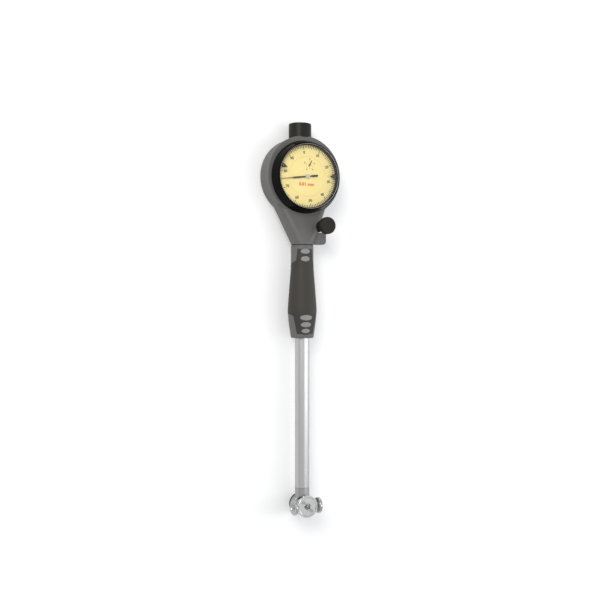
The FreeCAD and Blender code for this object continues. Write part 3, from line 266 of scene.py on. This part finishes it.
# %% Metals
def metal(name, colour, rough, scratches, depth, spread=0.12, tint=None):
    made = Finish(name)
    lines = scratches(made)
    made.shader(Metallic=1.0, Base_Color=made.blend(lines, colour, tint or colour),
                Roughness=rough + spread * (lines - 0.5), Normal=made.bump(lines, depth))
    return made


def ground_along(size, stretch):
    return lambda made: made.noise(size, stretch)


def turned(middle, plane, pitch):
    """Rings about an axis: noise read along the radius only."""
    def rings(made):
        way = made.node("ShaderNodeCombineXYZ", sockets={"X": made.radius(middle, plane) * (1 / pitch)})
        return made.node("ShaderNodeTexNoise", sockets={"Vector": way, "Scale": 1.0, "Detail": 2.0})
    return rings


head_middle = Vector((0, joints["crank_turn"]["pos_m"][1] - mm(3), 0))
wheel_left = Vector(joints["left_wheel_spin"]["pos_m"])

keep(metal("ground_steel_tube", grey(0.54, 0.004), 0.36, ground_along(mm(0.4), (6, 1, 6)), mm(0.004),
           tint=grey(0.60, 0.01)), "tube")
keep(metal("matt_nickel", grey(0.40, 0.01), 0.36, ground_along(mm(0.25), (1, 1, 1)), mm(0.01),
           tint=grey(0.46, 0.01)), "head_body")
keep(metal("bright_plate", grey(0.74, 0.006), 0.22, turned(head_middle, "XY", mm(0.16)), mm(0.004),
           tint=grey(0.80, 0.006)), "centraliser_cup")
keep(metal("wheel_steel", grey(0.5, 0.004), 0.24, turned(wheel_left, "YZ", mm(0.2)), mm(0.005),
           tint=grey(0.58)), "wheel_left", "wheel_right")
keep(metal("bright_screw", grey(0.46), 0.3, ground_along(mm(0.2), (4, 1, 1)), mm(0.004)),
     "axle_screw_left", "axle_screw_right", "case_screws", "guide_screws")
keep(metal("blackened_steel", grey(0.018), 0.38, ground_along(mm(0.3), (1, 1, 1)), mm(0.006),
           tint=grey(0.03)), "lock_ring")
keep(metal("hard_steel", grey(0.42, 0.004), 0.26, ground_along(mm(0.3), (1, 5, 1)), mm(0.003),
           tint=grey(0.5)), "bell_crank", "crank_pin", "contact_plunger", "anvil", "push_rod",
     "contact_bush", "indicator_stem", "spindle_rack", "spindle_point", "centre_pinion")
keep(metal("carbide", grey(0.2), 0.16, ground_along(mm(0.15), (1, 1, 1)), mm(0.001), tint=grey(0.26)),
     "contact_tip", "anvil_tip")
keep(metal("spring_wire", grey(0.3, 0.02), 0.3, ground_along(mm(0.3), (1, 1, 1)), mm(0.003),
           tint=grey(0.36)), "centraliser_springs", "rod_spring", "hairspring")
keep(metal("case_alloy", grey(0.5, 0.005), 0.34, turned(dial_middle, "XY", mm(0.3)), mm(0.006),
           tint=grey(0.58)), "indicator_case", "case_back")
BRASS, PALE_BRASS = (0.55, 0.36, 0.12, 1), (0.68, 0.48, 0.19, 1)
keep(metal("turned_brass", BRASS, 0.28, ground_along(mm(0.3), (1, 1, 1)), mm(0.003), tint=PALE_BRASS),
     "rod_guide", "spindle_bush", "case_pillars", "plate_pillars")
keep(metal("brushed_brass", BRASS, 0.34, ground_along(mm(0.25), (8, 1, 1)), mm(0.004), tint=PALE_BRASS),
     "movement_back_plate", "movement_front_plate", "rack_wheel", "takeup_wheel")
print("with the metals:", len(FINISHES), "finishes")

# %% [markdown]
# ## The bezel and the crystal
#
# The bezel is turned from aluminium and lacquered gloss black. Where it meets the crystal, the
# lacquer ends and a fine bright edge of metal shows, so the finish asks how far each point is from
# the dial's middle and switches from lacquer to metal inside that radius. The black is set low in
# both colour and gloss, so that it stays black in a white room.
#
# The crystal is a thin clear disc. Glass that bends light would also keep the lamps off the dial,
# so it is drawn as a pane: nearly no cover straight on, more towards its edge.

# %% Black lacquer with a bright edge
bezel_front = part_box("bezel_ring")[1].z
seat_radius = (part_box("crystal")[1].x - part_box("crystal")[0].x) / 2
lacquer = keep(Finish("gloss_black_lacquer"), "bezel_ring")
from_middle = lacquer.radius(dial_middle)
height = lacquer.node("ShaderNodeSeparateXYZ", sockets={0: lacquer.spot()}).output("Z")
EDGE_WIDTH, EDGE_DEPTH = mm(0.32), mm(1.0)
edge = (from_middle < seat_radius + EDGE_WIDTH) * (height > bezel_front - EDGE_DEPTH)
peel = lacquer.noise(mm(1.6))
lacquer.shader(Base_Color=lacquer.blend(edge, grey(0.003), grey(0.42, 0.03)), Metallic=edge,
               Roughness=0.17 + 0.08 * (peel - 0.5) + 0.12 * edge, Normal=lacquer.bump(peel, mm(0.006)),
               Specular_IOR_Level=0.05)

# %% Clear crystal
clear = keep(Finish("clear_crystal"), "crystal")
smear = clear.noise(mm(6))
rim_gloss = clear.node("ShaderNodeLayerWeight", sockets={"Blend": 0.35}, out="Fresnel")
clear.shader(Base_Color=(0.9, 0.92, 0.92, 1), Roughness=0.03 + 0.03 * smear, Alpha=0.015 + 0.22 * rim_gloss)
print("bezel edge line at radius", round(1000 * seat_radius, 2), "mm")

# %% [markdown]
# ## The dial
#
# The dial is in two parts: an outer ring that turns with the bezel, so that zero can be set, and a
# centre that stays still and carries the revolution counter. Both are enamelled pale yellow and
# printed in black. Print is about two hundredths of a millimetre
# thick, so it is made as very thin solids that lie on the enamel: a real shape stays crisp at any
# distance, where a shader mask blurs when it is baked.

# %% Enamel and ink
enamel = keep(Finish("yellow_enamel"), "dial_ring", "dial_centre")
speckle, shade = enamel.noise(mm(0.3), detail=4.0), enamel.noise(mm(14))
enamel.shader(Base_Color=enamel.blend(shade, (0.91, 0.745, 0.27, 1), (0.96, 0.81, 0.335, 1)),
              Roughness=0.42 + 0.1 * (speckle - 0.5), Normal=enamel.bump(speckle, mm(0.006)))


def ink(name, colour, rough):
    made = Finish(name)
    patchy = made.noise(mm(0.2))
    made.shader(Base_Color=made.blend(patchy, colour, tuple(1.35 * c for c in colour[:3]) + (1,)),
                Roughness=rough + 0.1 * (patchy - 0.5))
    return made


black_ink = ink("black_ink", (0.028, 0.02, 0.012, 1), 0.5)
red_ink = ink("red_ink", (0.62, 0.045, 0.008, 1), 0.5)
keep(ink("matt_black_paint", (0.008, 0.008, 0.008, 1), 0.55), "tolerance_hand_left", "tolerance_hand_right")

# %% [markdown]
# A mesh is made here from lists of corners and faces. One helper turns them into an object, gives
# it a finish, and rides it on its body, so that no piece can be forgotten.

# %% One helper for every added piece
PRINT_THICKNESS = mm(0.02)


def piece(name, corners, faces, finish, body, slot):
    mesh = bpy.data.meshes.new(name)
    mesh.from_pydata(corners, [], faces)
    mesh.update()
    made = bpy.data.objects.new(name, mesh)
    bpy.context.scene.collection.objects.link(made)
    mesh.materials.append(finish.material)
    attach(made, body)
    print(f"{name}: {len(faces)} faces on {body}")


def slabs(outlines, low, high):
    """Corners and faces of thin solids, one for each closed outline of flat points."""
    corners, faces = [], []
    for outline in outlines:
        first, count = len(corners), len(outline)
        corners += [(x, y, low) for x, y in outline] + [(x, y, high) for x, y in outline]
        faces.append([first + k for k in reversed(range(count))])
        faces.append([first + count + k for k in range(count)])
        faces += [[first + k, first + (k + 1) % count, first + count + (k + 1) % count, first + count + k]
                  for k in range(count)]
    return corners, faces


# %% [markdown]
# The scale has a hundred divisions. Every fifth line is longer and every tenth longer still and a
# little wider, which is what lets an eye count them. The angle runs clockwise from the top, as a
# dial is read, so a helper turns a dial angle and a radius into a place.

# %% Scale lines
RING_TURN = -8.0
DIVISIONS = 100
SUNK = mm(0.002)
LINE_END = mm(24.2)
# the inner end and the half width of every tenth, every fifth and every other line
LINES = {10: (mm(20.8), mm(0.26)), 5: (mm(21.3), mm(0.24)), 1: (mm(21.9), mm(0.21))}


def on_dial(middle, degrees, radius):
    turn = math.radians(degrees)
    return middle.x + radius * math.sin(turn), middle.y + radius * math.cos(turn)


def scale_line(middle, degrees, inner, outer, half_width):
    turn = math.radians(degrees)
    side = Vector((math.cos(turn), -math.sin(turn))) * half_width
    ends = [Vector(on_dial(middle, degrees, r)) for r in (inner, outer)]
    return [tuple(ends[0] - side), tuple(ends[0] + side), tuple(ends[1] + side), tuple(ends[1] - side)]


def line_kind(number):
    return 10 if number % 10 == 0 else 5 if number % 5 == 0 else 1


graduations = []
for number in range(DIVISIONS):
    inner, half_width = LINES[line_kind(number)]
    degrees = RING_TURN + number * 360 / DIVISIONS
    graduations.append(scale_line(dial_middle, degrees, inner, LINE_END, half_width))
piece("dial_graduations", *slabs(graduations, ring_face - SUNK, ring_face + PRINT_THICKNESS), black_ink,
      "bezel", "marker_black")

COUNTER_LINES = 10
counter_marks = [scale_line(counter_middle, k * 360 / COUNTER_LINES, mm(2.7), mm(3.3), mm(0.13))
                 for k in range(COUNTER_LINES)]
piece("counter_graduations", *slabs(counter_marks, centre_face - SUNK, centre_face + PRINT_THICKNESS),
      black_ink, "frame", "marker_black")


# %% [markdown]
# Numbers come from Blender's own text objects, which lay out and fill each outline. They are
# turned into one mesh for each colour of ink: a text object's mesh is asked for, moved to its
# place, and its corners and faces are added to the list.

# %% Numbers
BOLD = 0.05
CAPITAL_SHARE = 0.7


def lettering(words, base):
    """Corners and faces of printed words, each given as text, height, place and turn in degrees."""
    corners, faces = [], []
    for text, height, (x, y), degrees in words:
        curve = bpy.data.curves.new("word", "FONT")
        curve.body, curve.size = text, height / CAPITAL_SHARE
        curve.align_x = curve.align_y = "CENTER"
        curve.extrude, curve.resolution_u, curve.offset = PRINT_THICKNESS / 2, 4, height * BOLD
        word = bpy.data.objects.new("word", curve)
        bpy.context.scene.collection.objects.link(word)
        bpy.context.view_layer.update()
        flat = word.evaluated_get(bpy.context.evaluated_depsgraph_get()).to_mesh()
        turned_word = Matrix.Rotation(math.radians(degrees), 4, "Z")
        place = Matrix.Translation((x, y, base + PRINT_THICKNESS / 2)) @ turned_word
        first = len(corners)
        corners += [tuple(place @ v.co) for v in flat.vertices]
        faces += [[first + k for k in f.vertices] for f in flat.polygons]
        bpy.data.objects.remove(word)
        bpy.data.curves.remove(curve)
    return corners, faces


NUMBER_HEIGHT, NUMBER_RADIUS = mm(2.1), mm(18.6)
ring_numbers = [(str(tens * 10), NUMBER_HEIGHT, on_dial(dial_middle, RING_TURN + tens * 36, NUMBER_RADIUS),
                 -RING_TURN) for tens in range(10)]
piece("dial_numbers", *lettering(ring_numbers, ring_face), black_ink, "bezel", "marker_black")

counter_numbers = [(str(k), mm(1.15), on_dial(counter_middle, k * 36, mm(4.4)), 0) for k in range(0, 10, 2)]
piece("counter_numbers", *lettering(counter_numbers, centre_face), black_ink, "frame", "marker_black")

unit_words = [("0.01 mm", mm(2.5), (dial_middle.x - mm(0.6), dial_middle.y - mm(6.0)), 0)]
piece("unit_print", *lettering(unit_words, centre_face), red_ink, "frame", "marker_black")

# %% [markdown]
# The pointer is black for most of its length and thins to a fine brown tip, with a small bright
# boss pressed on the arbor at its middle. The colours change with distance from the dial's
# middle, so the finish reads that distance and steps between the three. The counter hand shares
# the finish and stays black, so a second distance, from the counter's middle, keeps the tip off it.

# %% Pointer and counter hand
hands = keep(Finish("pointer_lacquer"), "pointer", "counter_hand")
reach = hands.radius(dial_middle)
BOSS_RADIUS, TIP_START, COUNTER_REACH = mm(1.7), mm(12.5), mm(6)
boss, fine_tip = reach < BOSS_RADIUS, reach > TIP_START
counter_part = hands.radius(counter_middle) < COUNTER_REACH
body_colour = hands.blend(fine_tip * (1 - counter_part), (0.006, 0.006, 0.006, 1), (0.10, 0.042, 0.015, 1))
scuffs = hands.noise(mm(0.4))
hands.shader(Base_Color=hands.blend(boss, body_colour, grey(0.66, 0.02)), Metallic=boss,
             Roughness=0.4 - 0.1 * boss + 0.12 * (scuffs - 0.5))


# %% [markdown]
# ## Knurls
#
# A clamp screw is gripped between finger and thumb, so its knob has straight knurls: shallow
# V-shaped ribs moulded round it. They are real geometry, because the outline shows them. A band of
# ribs runs round the rim, and its ends slope down into the plain edge.

# %% A band of straight ribs
def ribbed_band(middle, radius, low, high, ribs, depth):
    """Corners and faces of a ribbed ring: a crest and a valley for each rib, sloped at both ends."""
    slope = depth * 2
    rows = [(low, 0.0), (low + slope, depth), (high - slope, depth), (high, 0.0)]
    corners = []
    for z, proud in rows:
        for k in range(2 * ribs):
            r = radius + (proud if k % 2 else -depth / 4)
            turn = math.pi * k / ribs
            corners.append((middle.x + r * math.cos(turn), middle.y + r * math.sin(turn), z))
    count = 2 * ribs
    faces = [[row * count + k, row * count + (k + 1) % count, (row + 1) * count + (k + 1) % count,
              (row + 1) * count + k] for row in range(len(rows) - 1) for k in range(count)]
    return corners, faces


knob_low, knob_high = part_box("clamp_screw")
knob_radius = (knob_high.x - knob_low.x) / 2
KNOB_THICK, KNOB_EDGE = mm(4.6), mm(0.6)
KNOB_RIBS, RIB_DEPTH = 72, mm(0.12)
ribs = ribbed_band(knob_middle, knob_radius, knob_high.z - KNOB_THICK + KNOB_EDGE, knob_high.z - KNOB_EDGE,
                   KNOB_RIBS, RIB_DEPTH)
piece("clamp_screw_knurl", *ribs, knob_plastic, "clamp_screw", "black_plastic")

# %% [markdown]
# ## Floor, light and camera
#
# The gauge lies on its back on a white sheet. Its metal has nothing to show but what it mirrors,
# so the world is a soft white room and the lamps are large, and each is placed for one job: the
# key from the upper left shapes the cover, the fill from the right opens the shadows, and a strip
# along the tube draws the long highlight that says it is round. The levels add up to about one, so
# a colour renders about as it is written.

# %% Floor
FLOOR_LIFT = 0.16
bpy.ops.mesh.primitive_plane_add(size=12)
floor = bpy.context.object
floor.name = "floor"
sheet = Finish("white_sheet")
paper = sheet.noise(mm(60))
seen = sheet.node("ShaderNodeLightPath", out="Is Camera Ray")
sheet.shader(Base_Color=sheet.blend(paper, grey(0.86), grey(0.88)), Roughness=0.9,
             Emission_Color=(1, 1, 1, 1))
sheet.fill(sheet.principled.inputs["Emission Strength"], FLOOR_LIFT * seen)
floor.data.materials.append(sheet.material)


# %% Light
def lamp(name, place, target, width, height, watts, tone=(1, 1, 1)):
    data = bpy.data.lights.new(name, "AREA")
    data.shape, data.size, data.size_y, data.energy, data.color = "RECTANGLE", width, height, watts, tone
    made = bpy.data.objects.new(name, data)
    bpy.context.scene.collection.objects.link(made)
    made.location = place
    made.rotation_mode = "QUATERNION"
    made.rotation_quaternion = (Vector(target) - Vector(place)).to_track_quat("-Z", "Y")


lamp("key", (-0.55, 0.45, 0.75), (0, 0.05, 0), 0.5, 0.5, 5.0, (1.0, 0.985, 0.97))
lamp("fill", (0.75, 0.0, 0.55), (0, 0, 0), 0.4, 0.8, 2.0, (0.97, 0.985, 1.0))
lamp("tube_strip", (0.35, -0.1, 0.9), (0, -0.05, 0), 0.12, 0.6, 0.7)

ROOM_COLOUR, ROOM_LEVEL = (0.97, 0.985, 1.0, 1), 0.62
world = bpy.data.worlds.new("soft_room")
bpy.context.scene.world = world
world.use_nodes = True
room = world.node_tree.nodes["Background"]
room.inputs["Color"].default_value = ROOM_COLOUR
room.inputs["Strength"].default_value = ROOM_LEVEL
bpy.context.scene.view_settings.view_transform = "Standard"

# %% [markdown]
# The camera looks down on the gauge with the tube upright in the picture, and stands a little to
# the left of the dial's normal, so that the cover's depth shows. The distance and the lens go
# together: the same size in the picture from nearer would swell the dial.

# %% Camera
DIAL_ANGLE = math.radians(25)
EYE_DISTANCE, ASIDE, LEVEL = 0.741, mm(-1.7), mm(15.05)
LENS, SENSOR_WIDTH = 57, 36
right = Vector((math.cos(DIAL_ANGLE), 0, math.sin(DIAL_ANGLE)))
towards_eye = Vector((-math.sin(DIAL_ANGLE), 0, math.cos(DIAL_ANGLE)))
up = Vector((0, 1, 0))
tube_axis = (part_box("tube")[0].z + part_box("tube")[1].z) / 2
lens = bpy.data.cameras.new("camera")
lens.lens, lens.sensor_width = LENS, SENSOR_WIDTH
lens.clip_start, lens.clip_end = 0.01, 20
camera = bpy.data.objects.new("camera", lens)
bpy.context.scene.collection.objects.link(camera)
eye = Vector((0, LEVEL, tube_axis)) + towards_eye * EYE_DISTANCE + right * ASIDE
camera.matrix_world = Matrix.Translation(eye) @ Matrix((right, up, towards_eye)).transposed().to_4x4()
bpy.context.scene.camera = camera
